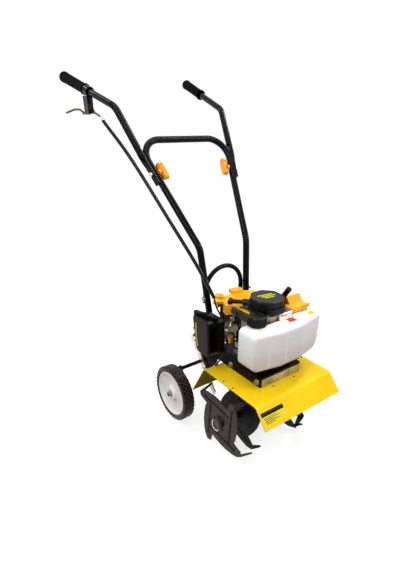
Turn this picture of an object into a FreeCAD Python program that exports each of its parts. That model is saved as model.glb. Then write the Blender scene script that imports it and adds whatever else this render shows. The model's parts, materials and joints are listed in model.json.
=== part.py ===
import FreeCAD, Part
import math
import os

# Garden tiller, walk-behind, two-stroke engine over one tine shaft.
# Millimetres. x forward, y left, z up. Every figure is measured from the tine
# shaft's line on the ground; FRAME_SHIFT then moves it all to the shared frame.

V = FreeCAD.Vector
os.makedirs("parts", exist_ok=True)

# ---- driving dimensions ----------------------------------------------------
FRAME_SHIFT = 282.0     # puts the middle of the overall length at x = 0

SHAFT_Z = 97.0          # tine shaft height
STAR_R = 110.0          # where a tine plate ends and its blades bend away
TIP_R = 118.0           # tine tip radius
STAR_T = 4.0            # tine plate thickness
OUTER_Y = 153.0         # outer face of the outer stars
INNER_Y = 82.0          # outer face of the inner stars
SHAFT_R = 12.5
HUB_R = 17.0
HUB_OUT = 8.0           # hub past the plate on the outer stars

WHEEL_R = 89.0
WHEEL_X = -210.0
WHEEL_IN = 151.0        # inner face of the tyre
WHEEL_OUT = 188.0
HUB_FACE = WHEEL_OUT - 1
TYRE_T = 17.0           # tyre's thickness over the rim
RIM_R = WHEEL_R - TYRE_T
AXLE_R = 6.0

GUARD_Z = 228.0         # top face of the guard
GUARD_HALF = 146.0
GUARD_T = 2.0
GUARD_REAR = -87.0
GUARD_FRONT = 135.0

RAIL_Y = 78.0           # outer face of the side rails
RAIL_H = 27.0
RAIL_REAR = -172.0
BAR_X = 78.0            # rear face of the front crossbar
BAR_H = 25.0
BAR_HALF = 74.0

TUBE_R = 10.0
BEND = V(-189.4, 88.3, 557.9)       # where each leg of the handlebar leans out
CORNER = V(-400.4, 164.0, 841.3)    # end of its cross run, before rounding
CORNER_R = 60.0
PIN_Z = 754.8           # clamp bolt height
FLAT = 4.2              # cut off each tube where the two meet
FLAT_GAP = 0.4
FLAT_LOW, FLAT_HIGH = -48.0, 86.0
SQUASH = 14.0           # outer face of the upper tube's flattened end
REACH = 733.0           # grip ends behind the tine shaft
SPREAD = 235.0          # grip ends either side of the middle
GRIP_TOP = 1017.7       # height of the grips' end
GRIP_END = V(-REACH, SPREAD, GRIP_TOP)
UPPER_BEND = GRIP_END + V(270.8, -41.6, -88.1)
GRIP_L = 132.0
GRIP_R = 16.0

TANK_X0, TANK_X1 = 18.0, 104.0
TANK_RIGHT, TANK_LEFT = -116.0, 139.0       # at its foot
TANK_LEAN = 6.0         # how far the left end leans outward at the top
TANK_Z0, TANK_Z1 = 289.0, 400.0
TANK_EDGE = 11.0        # rounding of the blown shell

SEAT = 0.3              # gap left where one piece seats on another

# ---- helpers ---------------------------------------------------------------


def save(shape, name):
    s = shape.copy()
    s.translate(V(FRAME_SHIFT, 0, 0))
    s.exportStep("parts/" + name + ".step")


def box(x0, x1, y0, y1, z0, z1):
    return Part.makeBox(x1 - x0, y1 - y0, z1 - z0, V(x0, y0, z0))


def along_x(edge):
    b = edge.BoundBox
    return b.YLength + b.ZLength < 0.1


def cyl(a, b, r):
    d = b - a
    return Part.makeCylinder(r, d.Length, a, d)


def cyl_y(x, z, y0, y1, r):
    return Part.makeCylinder(r, y1 - y0, V(x, y0, z), V(0, 1, 0))


def fuse(shapes):
    s = shapes[0]
    for o in shapes[1:]:
        s = s.fuse(o)
    return s.removeSplitter()


def group(shapes):
    return Part.makeCompound(shapes)


def mirror(shape):
    return shape.mirror(V(0, 0, 0), V(0, 1, 0))


def rounded(points, radius):
    """Edges of a line through points, its corners rounded."""
    edges = []
    last = points[0]
    for i in range(1, len(points) - 1):
        p, a, b = points[i], points[i - 1], points[i + 1]
        r = radius[i - 1] if isinstance(radius, (list, tuple)) else radius
        u = (a - p).normalize()
        w = (b - p).normalize()
        half = u.getAngle(w) / 2.0
        back = r / math.tan(half)
        s, e = p + u * back, p + w * back
        mid = (u + w).normalize()
        m = p + mid * (r / math.sin(half) - r)
        if (s - last).Length > 1e-3:
            edges.append(Part.makeLine(last, s))
        edges.append(Part.Arc(s, m, e).toShape())
        last = e
    edges.append(Part.makeLine(last, points[-1]))
    return edges


def outline(points, radius):
    """Face inside a loop of points, its corners rounded."""
    mid = (points[0] + points[-1]) * 0.5
    return Part.Face(Part.Wire(rounded([mid] + points + [mid], radius)))


def tube(points, radius, r):
    """A round bar of radius r swept along points with rounded corners."""
    path = Part.Wire(rounded(points, radius))
    d = (points[1] - points[0]).normalize()
    prof = Part.Wire([Part.makeCircle(r, points[0], d)])
    sweep = path.makePipeShell([prof], True, True)
    return sweep


def plate(points, z0, z1):
    """A flat plate with its outline in x and y."""
    pts = [V(x, y, z0) for x, y in points]
    return Part.Face(Part.makePolygon(pts + [pts[0]])).extrude(V(0, 0, z1 - z0))


def side_plate(points, y0, y1):
    """A flat plate with its outline in x and z."""
    pts = [V(x, y0, z) for x, z in points]
    return Part.Face(Part.makePolygon(pts + [pts[0]])).extrude(V(0, y1 - y0, 0))


def lathe_y(profile, x, z, sign=1):
    """Turned piece about a line along y: profile is (radius, y) pairs."""
    pts = [V(x, sign * y, z + r) for r, y in profile]
    face = Part.Face(Part.makePolygon(pts + [pts[0]]))
    return face.revolve(V(x, 0, z), V(0, 1, 0), 360)


def lathe_z(profile, x, y):
    """Turned piece about a line along z: profile is (radius, z) pairs."""
    pts = [V(x + r, y, z) for r, z in profile]
    face = Part.Face(Part.makePolygon(pts + [pts[0]]))
    return face.revolve(V(x, y, 0), V(0, 0, 1), 360)


def hexagon(a, axis, across, length):
    """A hexagonal head from point a along axis."""
    z = axis.normalize()
    x = z.cross(V(1, 0, 0) if abs(z.x) < 0.9 else V(0, 0, 1)).normalize()
    y = z.cross(x)
    r = across / math.sqrt(3.0)
    pts = []
    for i in range(6):
        t = math.radians(60 * i)
        pts.append(a + x * (r * math.cos(t)) + y * (r * math.sin(t)))
    return Part.Face(Part.makePolygon(pts + [pts[0]])).extrude(z * length)


# ---- tines -----------------------------------------------------------------


def polar(r, deg, y):
    t = math.radians(deg)
    return V(r * math.cos(t), y, SHAFT_Z + r * math.sin(t))


def star(y0, phase, tip_in, tip_ahead):
    """Four-armed tine plate from y0 to y0 + STAR_T, its blades bent to +y."""
    outline = []
    for k in range(4):
        a = phase - 90 * k
        for r, da in ((70, 4), (101, 7), (STAR_R, 1), (STAR_R - 7, -9),
                      (94, -18), (80, -37), (73, -53), (70.5, -75)):
            outline.append(polar(r, a + da, y0))
    body = Part.Face(Part.makePolygon(outline + [outline[0]])).extrude(
        V(0, STAR_T, 0))
    parts = [body]
    for k in range(4):
        a = phase - 90 * k
        b1 = polar(STAR_R, a + 1, y0 + 1)
        b2 = polar(STAR_R - 7, a - 9, y0 + 1)
        m = (b1 + b2) * 0.5
        e = (b1 - b2).normalize()
        t = polar(TIP_R - 2.0, a + tip_ahead, y0 + tip_in)
        n = e.cross(t - m).normalize()
        if n.dot(m - V(0, y0, SHAFT_Z)) > 0:
            n = n * -1
        mid = m * 0.45 + t * 0.55
        pts = [b1, mid + e * 7, t + e * 3, t - e * 3, mid - e * 7, b2]
        pts = [q - n * n.dot(q - m) for q in pts]
        parts.append(Part.Face(Part.makePolygon(pts + [pts[0]])).extrude(
            n * STAR_T))
        p, q = polar(88, a - 5, y0), polar(60, a - 103, y0)
        side = V(0, 1, 0).cross((q - p).normalize()) * 2.5
        pts = [p + side, q + side, q - side, p - side]
        parts.append(Part.Face(Part.makePolygon(pts + [pts[0]])).extrude(
            V(0, -1.5, 0)))
    return fuse(parts)


def hub(shape, y0, y1):
    """Hub tube from y0 to y1 added to a tine plate, with its bore."""
    s = fuse([shape, cyl_y(0, SHAFT_Z, y0, y1, HUB_R)])
    return s.cut(cyl_y(0, SHAFT_Z, y0 - 1, y1 + 1, SHAFT_R + 0.05))


CLIP_Y = OUTER_Y + 4.0
HUB_END = OUTER_Y + HUB_OUT
cross = group([cyl(V(0, s * CLIP_Y, SHAFT_Z - 26),
                   V(0, s * CLIP_Y, SHAFT_Z + 26), 2.2) for s in (-1, 1)])
outer_r = hub(star(-OUTER_Y, -31.5, 44, -4), -HUB_END, -OUTER_Y + 14)
outer_l = mirror(hub(star(-OUTER_Y, -61, 64, 12), -HUB_END, -OUTER_Y + 14))
inner_r = hub(star(-INNER_Y, -55, 34, 0), -INNER_Y - 2, -INNER_Y + 14)
inner_l = hub(star(INNER_Y - STAR_T, -47, 30, 7), INNER_Y - 14, INNER_Y + 2)
save(outer_r.cut(cross), "tine_star_outer_right")
save(inner_r, "tine_star_inner_right")
save(outer_l.cut(cross), "tine_star_outer_left")
save(inner_l, "tine_star_inner_left")

shaft = cyl_y(0, SHAFT_Z, -HUB_END - 1, HUB_END + 1, SHAFT_R)
save(shaft.cut(cross), "tine_shaft")


def clip(s):
    """Hairpin: a straight leg through the hub, its spring leg behind it."""
    y, yo = s * CLIP_Y, s * (CLIP_Y + 1)
    pin = cyl(V(0, y, SHAFT_Z - 22), V(0, y, SHAFT_Z + 20), 2.0)
    ring = tube([V(0, y, SHAFT_Z - 21), V(0, y, SHAFT_Z - 28),
                 V(-24, yo, SHAFT_Z - 28), V(-24, yo, SHAFT_Z + 6),
                 V(-19, yo, SHAFT_Z + 13)], [5, 5, 5], 1.6)
    return fuse([pin, ring])


save(group([clip(-1), clip(1)]), "tine_clips")

# ---- gearbox and drive -----------------------------------------------------

gear = lathe_y([(0, -36), (34, -36), (46, -26), (46, 26), (34, 36), (0, 36)],
               0, SHAFT_Z)
rings = [(0, 120), (32, 120)]
for z in (126, 138, 150):
    rings += [(32, z), (35, z + 2), (35, z + 6), (32, z + 8)]
top = lathe_z(rings + [(30, 160), (38, 166), (38, 172), (0, 172)], 0, 0)
gear = fuse([gear, top])
boss = cyl_y(0, SHAFT_Z, -46, 46, 22)
gear = gear.fuse(boss)
lug = box(-62, -30, -14, 14, 82, 112)
gear = gear.fuse(lug).removeSplitter()
gear = gear.cut(cyl_y(0, SHAFT_Z, -60, 60, SHAFT_R + 0.1))
save(gear, "gearbox")

neck = lathe_z([(0, 172), (38, 172), (38, 178), (24, 184), (24, 214),
                (46, 222), (46, GUARD_Z - GUARD_T), (0, GUARD_Z - GUARD_T)],
               0, 0)
save(neck, "drive_neck")

# ---- guard -----------------------------------------------------------------

G0 = GUARD_Z - GUARD_T
path = [V(-144, 0, 126), V(GUARD_REAR, 0, GUARD_Z), V(GUARD_FRONT, 0, GUARD_Z),
        V(177, 0, 180)]


def folded(pts, radius, t, half):
    """Sheet of thickness t below and inside the rounded line through pts."""
    outer = rounded(pts, [radius, radius])
    wire = Part.Wire(outer)
    inner = wire.makeOffset2D(-t, 0, False, True)
    w2 = inner
    a0, a1 = wire.OrderedVertexes[0].Point, wire.OrderedVertexes[-1].Point
    b0, b1 = w2.OrderedVertexes[0].Point, w2.OrderedVertexes[-1].Point
    if (a0 - b0).Length > (a0 - b1).Length:
        b0, b1 = b1, b0
    loop = Part.Wire(Part.__sortEdges__(
        list(wire.Edges) + list(w2.Edges) +
        [Part.makeLine(a0, b0), Part.makeLine(a1, b1)]))
    face = Part.Face(loop)
    face.translate(V(0, -half, 0))
    return face.extrude(V(0, 2 * half, 0))


guard = folded(path, 14, GUARD_T, GUARD_HALF)
if guard.BoundBox.ZMax > GUARD_Z + 0.5:
    raise ValueError("guard sheet thickened outward")
hole_y = GUARD_HALF - 9
holes = [(x, s * y) for x, y in ((-5, hole_y), (34, hole_y), (92, 40))
         for s in (-1, 1)]
for x, y in holes:
    guard = guard.cut(Part.makeCylinder(3, 20, V(x, y, GUARD_Z - 10)))
guard = guard.cut(Part.makeCylinder(26, 20, V(0, 0, GUARD_Z - 10)))
save(guard, "tine_guard")

# ---- frame -----------------------------------------------------------------

LEG_FOOT = V(-141.0, RAIL_Y - 5 - TUBE_R, GUARD_Z + 8)
FLANGE_REAR = -122.0    # the rails are plain strips behind this, for the legs


def on_leg(z):
    return LEG_FOOT + (BEND - LEG_FOOT) * ((z - LEG_FOOT.z) / (BEND.z - LEG_FOOT.z))


def rail():
    y1, y0 = -RAIL_Y + 3, -RAIL_Y
    mid = GUARD_Z + RAIL_H / 2
    web = box(RAIL_REAR, BAR_X, y0, y1, GUARD_Z, GUARD_Z + RAIL_H)
    low = box(FLANGE_REAR, BAR_X, y0, y0 + 22, GUARD_Z, GUARD_Z + 3)
    up = box(FLANGE_REAR, BAR_X, y0, y0 + 22, GUARD_Z + RAIL_H - 3,
             GUARD_Z + RAIL_H)
    bolts = []
    for x in (-45.0, 66.0):
        bolts.append(hexagon(V(x, y0, mid), V(0, -1, 0), 13, 6))
        bolts.append(cyl_y(x, mid, y0 - 1.5, y0, 9))
    return fuse([web, low, up] + bolts).cut(
        cyl_y(on_leg(mid).x, mid, y0 - 5, y1 + 5, 4.1))


r = rail()
save(r, "frame_rail_right")
save(mirror(r), "frame_rail_left")
save(box(BAR_X, BAR_X + 4, -BAR_HALF, BAR_HALF, GUARD_Z, GUARD_Z + BAR_H),
     "front_crossbar")
eplate = box(-130, 60, -RAIL_Y + 22, RAIL_Y - 22, GUARD_Z, GUARD_Z + 5)
save(eplate.cut(Part.makeCylinder(26, 20, V(0, 0, GUARD_Z - 5))),
     "engine_plate")

ROD_X, ROD_Z = -217.0, 162.0
ROD_END = 139.0         # inner face of the drop plates
STAKE_OUT, STAKE_IN = -66.0, -62.0
# rear hitch: two side cheeks under the rails' rear end, down to the cross rod
cheek = side_plate([(-172, GUARD_Z), (-130, GUARD_Z), (-146, 186), (-190, 134),
                    (-214, 134), (-236, 152), (-236, 176)], 50, 55)
web = box(-172, -134, -55, 55, GUARD_Z - 4, GUARD_Z)
hitch = fuse([cheek, mirror(cheek), web])
hitch = hitch.cut(cyl_y(ROD_X, ROD_Z, -80, 80, AXLE_R + 0.1))
stake_dir = V(128, 0, -155).normalize()
stake_up = V(155, 0, 128).normalize()
stake_at = V(ROD_X + 8, 0, ROD_Z + 4)
stake_top = stake_at - stake_dir * 92
stake_pin = stake_top + stake_dir * 112
hitch = hitch.cut(cyl_y(stake_pin.x, stake_pin.z, -80, -40, 4.1))
save(hitch, "hitch_bracket")

rod = cyl_y(ROD_X, ROD_Z, -ROD_END - 4, ROD_END + 4, AXLE_R)
drop = []
for s in (-1, 1):
    y = s * (ROD_END + 2)
    down = V(WHEEL_X - ROD_X, 0, WHEEL_R - ROD_Z).normalize()
    side = V(-down.z, 0, down.x) * 11
    a, b = V(ROD_X, y, ROD_Z), V(WHEEL_X, y, WHEEL_R)
    ends = [a + side, b + side, b - side, a - side]
    drop.append(side_plate([(q.x, q.z) for q in ends], y - 2, y + 2))
    for q in (a, b):
        drop.append(cyl_y(q.x, q.z, y - 2, y + 2, 11))
    for end, r in ((WHEEL_IN - 4, 10), (HUB_FACE + 8, AXLE_R)):
        y0, y1 = sorted((y, s * end))
        drop.append(cyl_y(WHEEL_X, WHEEL_R, y0, y1, r))
save(fuse([rod] + drop), "wheel_carrier")

pts = [stake_top + stake_up * 10, stake_top - stake_up * 10,
       stake_top - stake_up * 10 + stake_dir * 200,
       stake_top + stake_dir * 208,
       stake_top + stake_up * 10 + stake_dir * 200]
stake = side_plate([(q.x, q.z) for q in pts], STAKE_OUT, STAKE_IN)
stake = stake.cut(cyl_y(ROD_X, ROD_Z, -90, -50, AXLE_R + 0.1))
pin = fuse([cyl_y(stake_pin.x, stake_pin.z, STAKE_OUT, -48, 4.0),
            cyl_y(stake_pin.x, stake_pin.z, STAKE_OUT - 4, STAKE_OUT, 7.0)])
save(stake.fuse(pin), "depth_stake")

# ---- wheels ----------------------------------------------------------------

ty = lathe_y([(RIM_R, WHEEL_IN + 3), (RIM_R + 8, WHEEL_IN), (WHEEL_R - 6, WHEEL_IN),
              (WHEEL_R, WHEEL_IN + 6), (WHEEL_R, WHEEL_OUT - 6),
              (WHEEL_R - 6, WHEEL_OUT), (RIM_R + 8, WHEEL_OUT),
              (RIM_R, WHEEL_OUT - 3)], WHEEL_X, WHEEL_R, -1)
bore = AXLE_R + 0.1
dk = lathe_y([(bore, WHEEL_IN - 3), (17, WHEEL_IN - 3), (17, WHEEL_IN + 11),
              (RIM_R - 10, WHEEL_IN + 13), (RIM_R - 6, WHEEL_IN + 2),
              (RIM_R, WHEEL_IN), (RIM_R, WHEEL_OUT - 3), (RIM_R - 6, HUB_FACE),
              (RIM_R - 12, WHEEL_OUT - 11), (26, WHEEL_OUT - 13),
              (22, HUB_FACE), (bore, HUB_FACE)], WHEEL_X, WHEEL_R, -1)
nut_y = -HUB_FACE - 3
nut = fuse([cyl_y(WHEEL_X, WHEEL_R, nut_y, nut_y + 2.5, 10),
            hexagon(V(WHEEL_X, nut_y, WHEEL_R), V(0, -1, 0), 13, 5)])
nut = nut.cut(cyl_y(WHEEL_X, WHEEL_R, nut_y - 6, nut_y + 6, bore))
save(ty, "tyre_right")
save(mirror(ty), "tyre_left")
save(dk, "wheel_disc_right")
save(mirror(dk), "wheel_disc_left")
save(group([nut, mirror(nut)]), "axle_nuts")

# ---- handlebar -------------------------------------------------------------

leg_dir = (CORNER - BEND).normalize()
fold_axis = (V(0, 1, 0) - leg_dir * leg_dir.y).normalize()
fold_side = leg_dir.cross(fold_axis)
PIN = BEND + leg_dir * ((PIN_Z - BEND.z) / leg_dir.z)
APART = 2 * (TUBE_R - FLAT) + FLAT_GAP      # between the two tubes' lines
BORE = 4.1


def flip(v):
    return V(v.x, -v.y, v.z)


def at_pin(t, a, n=0.0):
    """Left clamp's own frame: t up the leg, a outward along its bolt."""
    return PIN + leg_dir * t + fold_axis * a + fold_side * n


def pin_block(t0, t1, a0, a1, n):
    pts = [at_pin(t0, a0, -n), at_pin(t1, a0, -n), at_pin(t1, a0, n),
           at_pin(t0, a0, n)]
    return Part.Face(Part.makePolygon(pts + [pts[0]])).extrude(
        fold_axis * (a1 - a0))


lower = tube([flip(LEG_FOOT), flip(BEND), flip(CORNER), CORNER, BEND,
              LEG_FOOT], [60, CORNER_R, CORNER_R, 60], TUBE_R)
meet = pin_block(FLAT_LOW, FLAT_HIGH, TUBE_R - FLAT, TUBE_R + 2, TUBE_R + 4)
bore = cyl(at_pin(0, -2 * TUBE_R), at_pin(0, 4 * TUBE_R), BORE)
lower = lower.cut(group([meet, mirror(meet), bore, mirror(bore)]))
HOOP_BOLT_Z = 408.0
leg_bolts = []
for sy in (-1, 1):
    mid = GUARD_Z + RAIL_H / 2
    for q, out in ((on_leg(mid), RAIL_Y), (on_leg(HOOP_BOLT_Z), None)):
        y1 = out if out else q.y + TUBE_R - 1
        y0, y1 = sorted((sy * q.y, sy * (y1 + 1)))
        leg_bolts.append(cyl_y(q.x, q.z, y0, y1, 4.0))
        face = V(q.x, y1 if sy > 0 else y0, q.z)
        leg_bolts.append(hexagon(face, V(0, sy, 0), 13, 6))
save(fuse([lower] + leg_bolts), "handlebar_lower")

g_dir = (GRIP_END - UPPER_BEND).normalize()
GRIP_IN = GRIP_END - g_dir * GRIP_L
upper = tube([at_pin(-34, APART), at_pin(42, APART), UPPER_BEND,
              GRIP_END - g_dir * 4], [120, 55], TUBE_R)
meet = pin_block(FLAT_LOW, FLAT_HIGH, APART - TUBE_R - 2,
                 APART - TUBE_R + FLAT, TUBE_R + 4)
wedge = [at_pin(-40, SQUASH), at_pin(24, SQUASH), at_pin(72, APART + TUBE_R),
         at_pin(72, 50), at_pin(-40, 50)]
wedge = [q - fold_side * 30 for q in wedge]
wedge = Part.Face(Part.makePolygon(wedge + [wedge[0]])).extrude(fold_side * 60)
upper = upper.cut(group([meet, bore])).cut(wedge)
grip = fuse([cyl(GRIP_IN, GRIP_END, GRIP_R),
             cyl(GRIP_IN, GRIP_IN + g_dir * 5, GRIP_R + 2),
             cyl(GRIP_END - g_dir * 8, GRIP_END, GRIP_R + 1)])
grip = grip.cut(cyl(GRIP_IN - g_dir * 5, GRIP_END - g_dir * (4 - SEAT), TUBE_R))
save(upper, "handlebar_upper_left")
save(mirror(upper), "handlebar_upper_right")
save(grip, "grip_left")
save(mirror(grip), "grip_right")

WING_T, WING_N, WING_A = 27.0, 10.0, 14.0   # half length, half width, thickness
NECK = 9.0


def knob():
    """Left side: bolt through both tubes, wing knob on the inner side."""
    inner, outer = -TUBE_R - SEAT, SQUASH + SEAT
    bolt = cyl(at_pin(0, inner - NECK), at_pin(0, outer + 1), BORE - 0.1)
    head = cyl(at_pin(0, outer), at_pin(0, outer + 5), 7)
    core = cyl(at_pin(0, inner - NECK), at_pin(0, inner), 8)
    wing = pin_block(-WING_T, WING_T, inner - NECK - WING_A, inner - NECK,
                     WING_N)
    ends = [e for e in wing.Edges if abs(e.Length - WING_A) < 1e-3]
    wing = wing.makeFillet(WING_N - 1, ends)
    return fuse([bolt, head, core, wing])


kn = knob()
save(kn, "fold_knob_left")
save(mirror(kn), "fold_knob_right")

HOOP_R = 7.0            # carry handle's tube
HOOP_FOOT = 385.0
HOOP_BACK, HOOP_IN = 18.64, 7.02    # its legs behind and inside the handlebar's
ARCH_Z = 420.0
ARCH_X = on_leg(HOOP_BOLT_Z).x - HOOP_BACK
ARCH_R = on_leg(HOOP_BOLT_Z).y - HOOP_IN
hoop = Part.Wire([
    Part.makeLine(V(ARCH_X, -ARCH_R, HOOP_FOOT), V(ARCH_X, -ARCH_R, ARCH_Z)),
    Part.Arc(V(ARCH_X, -ARCH_R, ARCH_Z), V(ARCH_X, 0, ARCH_Z + ARCH_R),
             V(ARCH_X, ARCH_R, ARCH_Z)).toShape(),
    Part.makeLine(V(ARCH_X, ARCH_R, ARCH_Z), V(ARCH_X, ARCH_R, HOOP_FOOT))])
prof = Part.Wire([Part.makeCircle(HOOP_R, V(ARCH_X, -ARCH_R, HOOP_FOOT),
                                  V(0, 0, 1))])
save(hoop.makePipeShell([prof], True, True), "carry_handle")

# ---- throttle --------------------------------------------------------------

c0 = flip(GRIP_IN)
cd = (flip(GRIP_IN) - flip(GRIP_END)).normalize()
c1 = c0 + cd * 2
clamp = cyl(c1, c1 + cd * 22, 15).cut(
    cyl(c1 - cd * 5, c1 + cd * 40, TUBE_R + 0.1))
cm = c1 + cd * 11
stem = side_plate([(-25, -13), (8, -14), (10, -50), (12, -54), (11, -64),
                   (-17, -64)], -9, 9)
slot = box(-60, 0, -4.5, 4.5, -75, -52)
ferrule = cyl(V(8, 0, -56), V(22, 3, -58), 5)
stem = fuse([stem.cut(slot), ferrule])
stem.translate(cm)
save(fuse([clamp, stem]), "throttle_clamp")
lever = tube([V(-40, -3, -62), V(-57, -8, -52), V(-84, -16, -52),
              V(-124, -28, -62)], [20, 40], 3.3)
lever = fuse([lever, box(-50, -1, -4, 4, -67, -57)])
lever.translate(cm)
save(lever, "throttle_lever")

CAB_R = 5.2
SPLIT = V(-333, -180.8, 743)    # where the cable passes the clamp bolt's line
cab_up = tube([cm + V(22.9, 3.1, -58.9), V(-530.3, -207, 897),
               V(-417.7, -194, 818.5), SPLIT], [40, 120], CAB_R)
save(cab_up, "throttle_cable_upper")
cab_end = V(-101, -102, 438.4)
CARB_X, CARB_TOP = -68.0, 361.0
cab_lo = tube([SPLIT + V(3, 0, -4), V(-242, -160, 643.6),
               V(-158, -134, 544), V(-120.3, -115, 481.4), cab_end],
              [160, 200, 80], CAB_R)
core = tube([cab_end + V(-3, -2, 7), V(-94, -98, 410), V(-88, -89, 390),
             V(-79, -80, CARB_TOP + 1)], [20, 12], 2.5)
save(cab_lo.fuse(core), "throttle_cable_lower")

# ---- engine ----------------------------------------------------------------

ENG_Z = GUARD_Z + 5     # the engine stands on its plate
CASE_Z = 306.0          # crankcase, above the clutch
SKIN_Z1 = TANK_Z1 + 12  # shroud's top
SKIN_Z0 = SKIN_Z1 - 28  # its lower edge
BLOWER_R = 48.0
clutch = lathe_z([(0, ENG_Z), (46, ENG_Z), (46, ENG_Z + 5), (34, ENG_Z + 15),
                  (44, CASE_Z - 6), (44, CASE_Z + 14), (0, CASE_Z + 14)], 0, 0)
sump = fuse([box(-48, 30, -50, 44, CASE_Z - 48, CASE_Z),
             box(-72, -48, -50, 44, CASE_Z - 48, CASE_Z - 7)])
sump = sump.makeFillet(6, [e for e in sump.Edges
                           if e.BoundBox.ZMax < CASE_Z - 47 or
                           e.BoundBox.ZLength > 30])
case = box(-48, 40, -44, 44, CASE_Z, SKIN_Z0)
blower = Part.makeCylinder(BLOWER_R, SKIN_Z1 - SEAT - SKIN_Z0, V(0, 0, SKIN_Z0))
save(fuse([clutch, sump, case, blower]), "crankcase")
fins = [box(-150, -48 - SEAT, -28, 28, CASE_Z + 10, SKIN_Z0 - 12)]
for i in range(9):
    x = -56 - 11 * i
    fins.append(box(x - 1.5, x + 1.5, -44, 44, CASE_Z - 6, SKIN_Z0))
save(fuse(fins), "cylinder")
muf = box(-132, -52, 56, 108, CASE_Z - 14, SKIN_Z0 - 18)
muf = muf.makeFillet(8, muf.Edges)
pipe = cyl_y(-92, 336, 44 + SEAT, 60, 12)
save(fuse([muf, pipe]), "muffler")

out = [(-124, -85), (-117, -84), (-107, -64), (-82, -71), (-76, -58), (8, -55),
       (12, 40), (12, 108), (-10, 112), (-70, 98), (-130, 72), (-146, 44),
       (-144, -46), (-138, -64)]
skin = plate(out, SKIN_Z0, SKIN_Z1)
hollow = [(x * 0.965 - 2, y * 0.95) for x, y in out]
skin = skin.cut(plate(hollow, SKIN_Z0 - 6, SKIN_Z1 - 3))
lip = plate([(-126, -87), (-116, -87), (-105, -62), (-114, -58), (-134, -76)],
            SKIN_Z1 - 3, SKIN_Z1 + 4)
lugs = [plate([(-170, 6), (-158, 48), (-134, 34), (-146, 0)],
              SKIN_Z1 - 2, SKIN_Z1 + 8),
        plate([(-168, -44), (-146, -30), (-124, -46), (-148, -64)],
              SKIN_Z1 - 2, SKIN_Z1 + 6)]
for i, lug in enumerate(lugs):
    up = [e for e in lug.Edges if e.BoundBox.ZLength > 1]
    lug = lug.makeFillet(6, up)
    lugs[i] = lug.makeFillet(2, [e for e in lug.Edges
                                 if e.BoundBox.ZMin > SKIN_Z1 + 5])
boss = cyl_y(-58, SKIN_Z1 - 12, -66, -56, 11)
# the left front corner: a flat ear, with a folded ridge behind it
ear = plate([(10, 61), (46, 62), (50, 118), (40, 131), (10, 131)],
            SKIN_Z1 - 9, SKIN_Z1 + 2)
ridge = side_plate([(-26, SKIN_Z1 - 3), (-2, SKIN_Z1 + 20), (6, SKIN_Z1 + 20),
                    (20, SKIN_Z1), (20, SKIN_Z1 - 6)], 79, 132)
ridge = ridge.cut(Part.makeCylinder(30, 60, V(-30, 142, SKIN_Z1)))
tip = side_plate([(36, SKIN_Z1 - 4), (48, SKIN_Z1 + 8), (51, SKIN_Z1 + 6),
                  (44, SKIN_Z1 - 8)], 100, 130)
skin = skin.cut(box(-160, -108, -100, -60, SKIN_Z0 - 6, SKIN_Z1 - 6))
skin = skin.fuse([lip, boss, ear, ridge, tip] + lugs)
skin = skin.cut(Part.makeCylinder(BLOWER_R + 0.2, 60, V(0, 0, SKIN_Z0 - 12)))
save(skin.removeSplitter(), "shroud")

START_R, START_TOP = 51.0, SKIN_Z1 + 40
START = V(-1, 6, 0)


def ring_plate(r, z0, z1, corner):
    """Eight-sided starter housing, its upright edges rounded."""
    pts = [(START.x + r * math.cos(math.radians(45 * i + 20)),
            START.y + r * math.sin(math.radians(45 * i + 20)))
           for i in range(8)]
    s = plate(pts, z0, z1)
    return s.makeFillet(corner, [e for e in s.Edges if e.BoundBox.ZLength > 1])


st_body = ring_plate(START_R, SKIN_Z1 + 20, START_TOP, 14)
st_body = st_body.makeFillet(5, [e for e in st_body.Edges
                                 if e.BoundBox.ZMin > START_TOP - 1])
skirt = ring_plate(START_R + 4, SKIN_Z1 + 4 + SEAT, SKIN_Z1 + 21, 12)
ROPE_Z = SKIN_Z1 + 17
outlet = cyl(V(-49, -40, ROPE_Z), V(-20, -16, ROPE_Z), 9.5)
save(fuse([st_body, skirt, outlet]), "recoil_starter")
gp = [cyl(V(-49.3, -40.3, ROPE_Z), V(-74, -62, ROPE_Z - 1), 4.5),
      cyl(V(-82, -56, ROPE_Z - 1), V(-68, -72, ROPE_Z - 1), 6.5)]
save(fuse(gp), "starter_grip")
brk = plate([(-52, -50), (36, -28), (51, 6), (51, 56), (-52, 60)],
            SKIN_Z1 + SEAT, SKIN_Z1 + 4)
tabs = [box(50, 54, 2, 53, TANK_Z1 + SEAT, SKIN_Z1 + 3),
        box(50, 61, 2, 53, TANK_Z1 + SEAT, TANK_Z1 + 3)]
save(fuse([brk] + tabs), "starter_bracket")
PLUG = V(0, 68, SKIN_Z1 + SEAT)
save(tube([PLUG, PLUG + V(0, 0, 22), PLUG + V(20, 2, 54)], [12], 8), "plug_cap")

carb = box(-88, -54, -88, -56, 324, CARB_TOP)
carb = fuse([carb, cyl_y(CARB_X, 343, -98 + SEAT, -44 - SEAT, 14),
             Part.makeCylinder(13, 24, V(CARB_X, -70, 306)),
             cyl_y(CARB_X + 12, 382, -80, -67, 7),
             Part.makeCylinder(4, 24, V(CARB_X + 7, -72, 356))])
save(carb, "carburettor")
AIR_Y0, AIR_Y1 = -160.0, -120.0     # outer face, and where the lid meets the base
AIR_Z0, AIR_Z1 = 288.0, 394.0
lid = [V(-126, AIR_Y0, AIR_Z1), V(-54, AIR_Y0, AIR_Z1), V(-48, AIR_Y0, AIR_Z0),
       V(-106, AIR_Y0, AIR_Z0)]
base = [q + V(1, 0, -5) for q in lid]
cov = outline(lid, [9, 9, 14, 14]).extrude(V(0, AIR_Y1 - SEAT - AIR_Y0, 0))
cov = cov.makeFillet(4, [e for e in cov.Edges if e.BoundBox.YMax < AIR_Y0 + 1])
ridge = plate([(-129, -152), (-129, -142), (-51, -124), (-51, -134)],
              AIR_Z1 - 12, AIR_Z1 + 9)
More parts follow.
